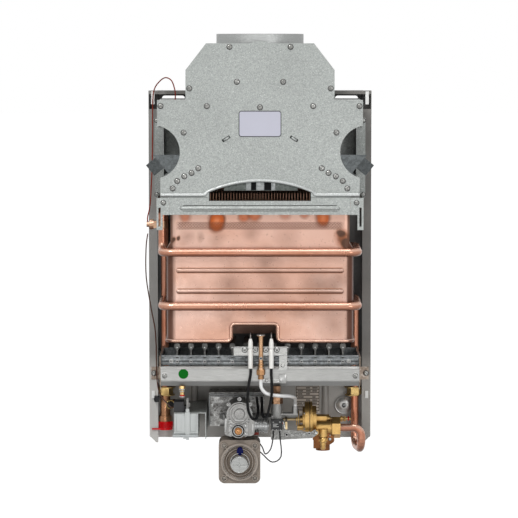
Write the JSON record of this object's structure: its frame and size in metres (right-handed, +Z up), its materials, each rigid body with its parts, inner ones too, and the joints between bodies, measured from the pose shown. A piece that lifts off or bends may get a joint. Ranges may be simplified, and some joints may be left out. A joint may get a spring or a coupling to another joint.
{
  "type": "tankless gas water heater",
  "caption": "Wall-hung open-flued gas water heater without its cover, with copper coil shell, blade burner, draught hood and lever-switched water valve",
  "frame": {"origin": "midway between the two hanging slots at the top of the back panel, on the wall face", "axes": "+Z up, +X to the right as seen from the front, -Y out of the wall towards the viewer"},
  "size_m": [0.3329, 0.176, 0.656],
  "materials": {
    "panel_paint": "satin taupe-grey stove paint on sheet steel",
    "stay_zinc": "galvanised sheet",
    "clip_white": "moulded edge clips",
    "washer_bright": "bright plated washer",
    "hood_zinc": "galvanised sheet with a fine spangle",
    "plate_zinc": "galvanised sheet with a fine spangle",
    "collar_zinc": "aluminised sheet",
    "deflector_dark": "heat-dulled sheet",
    "baffle_zinc": "heat-dulled galvanised sheet",
    "screw_zinc": "zinc-plated screws",
    "rail_zinc": "galvanised sheet",
    "bracket_zinc": "galvanised sheet",
    "fin_copper": "heat-darkened copper fins",
    "tube_copper": "brazed copper tube",
    "shell_copper": "salmon-pink annealed copper with smoky stains",
    "coil_copper": "drawn copper tube",
    "inlet_copper": "drawn copper tube",
    "outlet_copper": "drawn copper tube",
    "nut_brass": "turned brass nuts",
    "thermostat_bronze": "copper clip and sensor cap",
    "tray_steel": "heat-dulled aluminised sheet",
    "blade_steel": "stainless burner blades",
    "manifold_alu": "extruded aluminium",
    "injector_brass": "turned brass jets",
    "ear_brown": "heat-browned sheet",
    "nipple_brass": "turned brass nipple",
    "plate_steel": "bright stainless sheet",
    "ceramic_white": "glazed ceramic sleeves",
    "pin_steel": "heat-proof wire",
    "pilot_brass": "brass pilot burner",
    "pilot_alu": "bright aluminium tube",
    "lead_rubber": "silicone rubber leads",
    "valve_cast": "die-cast aluminium",
    "cover_cast": "die-cast aluminium",
    "spindle_brass": "turned brass spindle",
    "solenoid_zinc": "zinc-plated can",
    "riser_bronze": "brass pipe and nut",
    "small_screw_zinc": "zinc-plated screws",
    "regulator_taupe": "taupe cast housing",
    "regulator_cover_taupe": "taupe cast cover",
    "cap_alu": "machined aluminium cap",
    "water_brass": "golden forged brass",
    "cover_brass": "golden forged brass",
    "diaphragm_rubber": "fabric-reinforced rubber",
    "stem_brass": "turned brass stem",
    "rod_brass": "brass rod with striker",
    "drain_brass": "turned brass plug",
    "inlet_brown": "brown-stained brass",
    "link_zinc": "zinc-plated sheet",
    "leaf_steel": "spring steel leaf",
    "switch_black": "black moulded switch",
    "button_red": "moulded button",
    "outlet_brass": "turned brass connector",
    "cap_red": "red moulded cap",
    "battery_zinc": "galvanised sheet",
    "box_grey": "light grey moulded box",
    "lid_grey": "light grey moulded lid",
    "valve_zinc": "galvanised sheet with a coarse spangle",
    "igniter_black": "potted black block with a white plug",
    "wire_black": "thin insulated wires"
  },
  "bodies": {
    "root": {"back_panel": "panel_paint", "side_stays": "stay_zinc", "edge_clips": "clip_white", "dish_washer": "washer_bright", "hood_body": "hood_zinc", "hood_plate": "plate_zinc", "flue_collar": "collar_zinc", "draft_deflectors": "deflector_dark", "hood_baffle": "baffle_zinc", "casing_screws": "screw_zinc", "exchanger_rail": "rail_zinc", "rail_brackets": "bracket_zinc", "fin_pack": "fin_copper", "exchanger_tubes": "tube_copper", "chamber_shell": "shell_copper", "coil_pipe": "coil_copper", "inlet_pipe": "inlet_copper", "outlet_pipe": "outlet_copper", "union_nuts": "nut_brass", "limit_thermostat": "thermostat_bronze", "burner_tray": "tray_steel", "burner_blades": "blade_steel", "gas_manifold": "manifold_alu", "injectors": "injector_brass", "burner_brackets": "ear_brown", "test_nipple": "nipple_brass", "electrode_bracket": "plate_steel", "electrode_ceramics": "ceramic_white", "electrode_pins": "pin_steel", "pilot_burner": "pilot_brass", "pilot_tube": "pilot_alu", "spark_leads": "lead_rubber", "gas_valve_body": "valve_cast", "gas_valve_cover": "cover_cast", "gas_solenoid": "solenoid_zinc", "gas_riser": "riser_bronze", "small_screws": "small_screw_zinc", "regulator_body": "regulator_taupe", "regulator_cover": "regulator_cover_taupe", "water_valve_body": "water_brass", "diaphragm_cover": "cover_brass", "diaphragm": "diaphragm_rubber", "cold_inlet": "inlet_brown", "link_bracket": "link_zinc", "micro_switch": "switch_black", "hot_outlet": "outlet_brass", "battery_bracket": "battery_zinc", "battery_box": "box_grey", "valve_bracket": "valve_zinc", "igniter_unit": "igniter_black", "wires": "wire_black"},
    "battery_lid": {"battery_lid": "lid_grey"},
    "drain_plug": {"drain_plug": "drain_brass"},
    "gas_spindle": {"gas_spindle": "spindle_brass"},
    "push_rod": {"push_rod": "rod_brass"},
    "red_cap": {"red_cap": "cap_red"},
    "regulator_cap": {"regulator_cap": "cap_alu"},
    "switch_button": {"switch_button": "button_red"},
    "switch_lever": {"switch_lever": "leaf_steel"},
    "water_spindle": {"water_spindle": "stem_brass"}
  },
  "joints": [
    {"name": "gas_spindle_turn", "type": "hinge", "parent": "root", "child": "gas_spindle", "pos_m": [-0.0317, -0.127, -0.4815], "axis": [0, 1, 0], "range_deg": [0, 90]},
    {"name": "water_spindle_turn", "type": "hinge", "parent": "root", "child": "water_spindle", "pos_m": [0.12, -0.064, -0.4725], "axis": [1, 0, 0], "range_deg": [0, 270]},
    {"name": "push_rod_travel", "type": "slide", "parent": "root", "child": "push_rod", "axis": [-1, 0, 0], "range_m": [0, 0.003], "stiffness_N_per_m": 300},
    {"name": "switch_lever_swing", "type": "hinge", "parent": "root", "child": "switch_lever", "pos_m": [0.0336, -0.118, -0.467], "axis": [0, 1, 0], "range_deg": [0, 14.4]},
    {"name": "switch_button_travel", "type": "slide", "parent": "root", "child": "switch_button", "axis": [-1, 0, 0], "range_m": [0, 0.00101]},
    {"name": "red_cap_pull", "type": "slide", "parent": "root", "child": "red_cap", "axis": [0, 0, -1], "range_m": [0, 0.024]},
    {"name": "battery_lid_swing", "type": "hinge", "parent": "root", "child": "battery_lid", "pos_m": [-0.1075, -0.036, -0.486], "axis": [1, 0, 0], "range_deg": [0, 90]},
    {"name": "drain_plug_turn", "type": "hinge", "parent": "root", "child": "drain_plug", "pos_m": [0.093, -0.093, -0.5], "axis": [0, 0, 1], "range_deg": [0, 1080]},
    {"name": "regulator_cap_turn", "type": "hinge", "parent": "root", "child": "regulator_cap", "pos_m": [-0.03, -0.13, -0.528], "axis": [0, 1, 0], "range_deg": [0, 720]}
  ],
  "couplings": [
    {"joint": "switch_lever_swing", "follows": "push_rod_travel", "rad_per_m": 83.3},
    {"joint": "switch_button_travel", "follows": "push_rod_travel", "ratio": 0.333}
  ]
}
